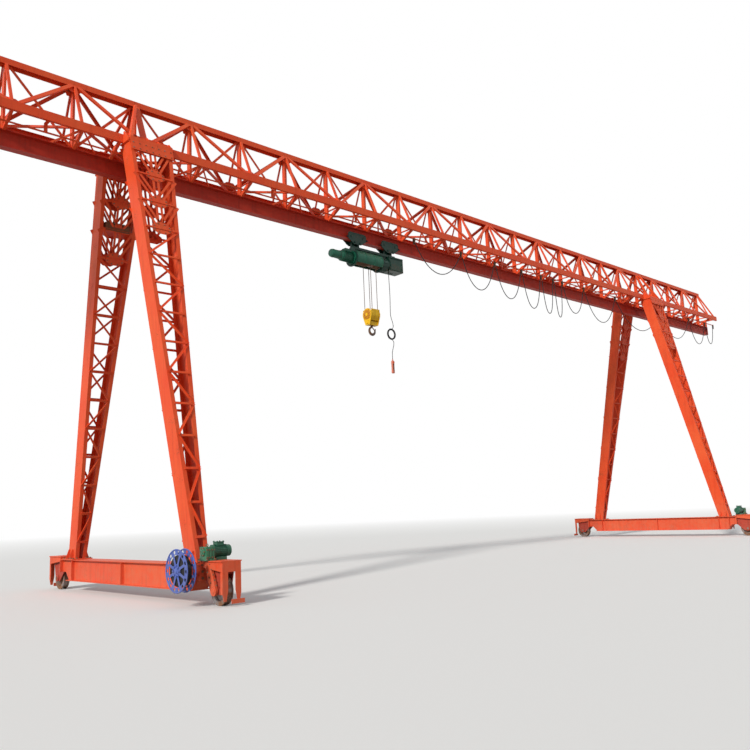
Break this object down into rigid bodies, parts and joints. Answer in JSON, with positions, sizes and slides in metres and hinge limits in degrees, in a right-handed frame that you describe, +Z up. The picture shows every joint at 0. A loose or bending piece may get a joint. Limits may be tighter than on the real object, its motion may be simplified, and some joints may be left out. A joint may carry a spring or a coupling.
{
  "type": "truss gantry crane",
  "caption": "Outdoor truss gantry crane: triangular lattice girder on raking lattice legs and wheeled base beams, with an underslung rope hoist, hook block, festoon cable and cable reel.",
  "frame": {"origin": "centre of the footprint, on the plane that the wheels stand on", "axes": "+X along the girder towards the right support, +Y along the rails towards the back, +Z up"},
  "size_m": [37.58, 8.24, 11.6],
  "materials": {
    "red_paint": "weathered orange-red gloss paint, dusty, rust at the joints",
    "green_paint": "green machine enamel",
    "dark_green_paint": "dark green machine enamel, greasy",
    "blue_paint": "blue enamel, dusty",
    "yellow_paint": "yellow enamel, scuffed",
    "wheel_steel": "dark cast steel with polished tread",
    "hook_steel": "black forged steel",
    "drum_steel": "greased bare steel",
    "wire_rope": "greased wire rope",
    "cable_rubber": "matt black rubber cable",
    "rusty_steel": "rusted sheet steel",
    "pendant_plastic": "faded red moulded plastic"
  },
  "bodies": {
    "frame": {"runway_beam": "red_paint", "top_chord": "red_paint", "side_chord_front": "red_paint", "side_chord_back": "red_paint", "web_lattice_front": "red_paint", "web_lattice_back": "red_paint", "centre_lattice": "red_paint", "flat_lattice": "red_paint", "beam_hangers": "red_paint", "girder_end_frames": "red_paint", "leg_heads": "red_paint", "leg_left_front": "red_paint", "leg_left_back": "red_paint", "leg_right_front": "red_paint", "leg_right_back": "red_paint", "leg_lattice_left": "red_paint", "leg_lattice_right": "red_paint", "leg_feet": "red_paint", "base_beam_left": "red_paint", "base_beam_right": "red_paint", "wheel_yokes": "red_paint", "travel_motors": "green_paint", "travel_reducers": "green_paint", "reel_stand": "red_paint", "resistor_shelf": "red_paint", "resistor_box": "rusty_steel", "festoon_track": "red_paint", "festoon_carriers": "wheel_steel", "festoon_cable": "cable_rubber"},
    "hoist": {"trolley_plates": "dark_green_paint", "trolley_wheels": "wheel_steel", "trolley_motor": "dark_green_paint", "hoist_frame": "dark_green_paint", "rope_drum": "drum_steel", "drum_shell": "green_paint", "hoist_motor": "green_paint", "hoist_gearbox": "dark_green_paint", "hoist_control_box": "dark_green_paint", "pendant_cable": "cable_rubber", "pendant_coil": "cable_rubber", "pendant_station": "pendant_plastic"},
    "block": {"hoist_ropes": "wire_rope", "hook_block": "yellow_paint", "hook_sheaves": "hook_steel"},
    "hook": {"hook": "hook_steel"},
    "cable_reel": {"cable_reel": "blue_paint", "reel_cable_pack": "cable_rubber"},
    "wheel_left_front": {"wheel_left_front": "wheel_steel"},
    "wheel_left_back": {"wheel_left_back": "wheel_steel"},
    "wheel_right_front": {"wheel_right_front": "wheel_steel"},
    "wheel_right_back": {"wheel_right_back": "wheel_steel"}
  },
  "joints": [
    {"name": "hoist_travel", "type": "slide", "parent": "frame", "child": "hoist", "axis": [1, 0, 0], "range_m": [-12.4, 21.4]},
    {"name": "hook_lift", "type": "slide", "parent": "hoist", "child": "block", "axis": [0, 0, 1], "range_m": [-6.7, 0.9], "deforming": ["hoist_ropes"]},
    {"name": "hook_swivel", "type": "hinge", "parent": "block", "child": "hook", "pos_m": [-4.375, 0, 7], "axis": [0, 0, 1], "continuous": true},
    {"name": "wheel_left_front_spin", "type": "hinge", "parent": "frame", "child": "wheel_left_front", "pos_m": [-12, -3.7, 0.28], "axis": [1, 0, 0], "continuous": true},
    {"name": "wheel_left_back_spin", "type": "hinge", "parent": "frame", "child": "wheel_left_back", "pos_m": [-12, 3.7, 0.28], "axis": [1, 0, 0], "continuous": true},
    {"name": "wheel_right_front_spin", "type": "hinge", "parent": "frame", "child": "wheel_right_front", "pos_m": [12, -3.7, 0.28], "axis": [1, 0, 0], "continuous": true},
    {"name": "wheel_right_back_spin", "type": "hinge", "parent": "frame", "child": "wheel_right_back", "pos_m": [12, 3.7, 0.28], "axis": [1, 0, 0], "continuous": true},
    {"name": "cable_reel_spin", "type": "hinge", "parent": "frame", "child": "cable_reel", "pos_m": [-12.65, -3.34, 0.67], "axis": [1, 0, 0], "continuous": true}
  ]
}
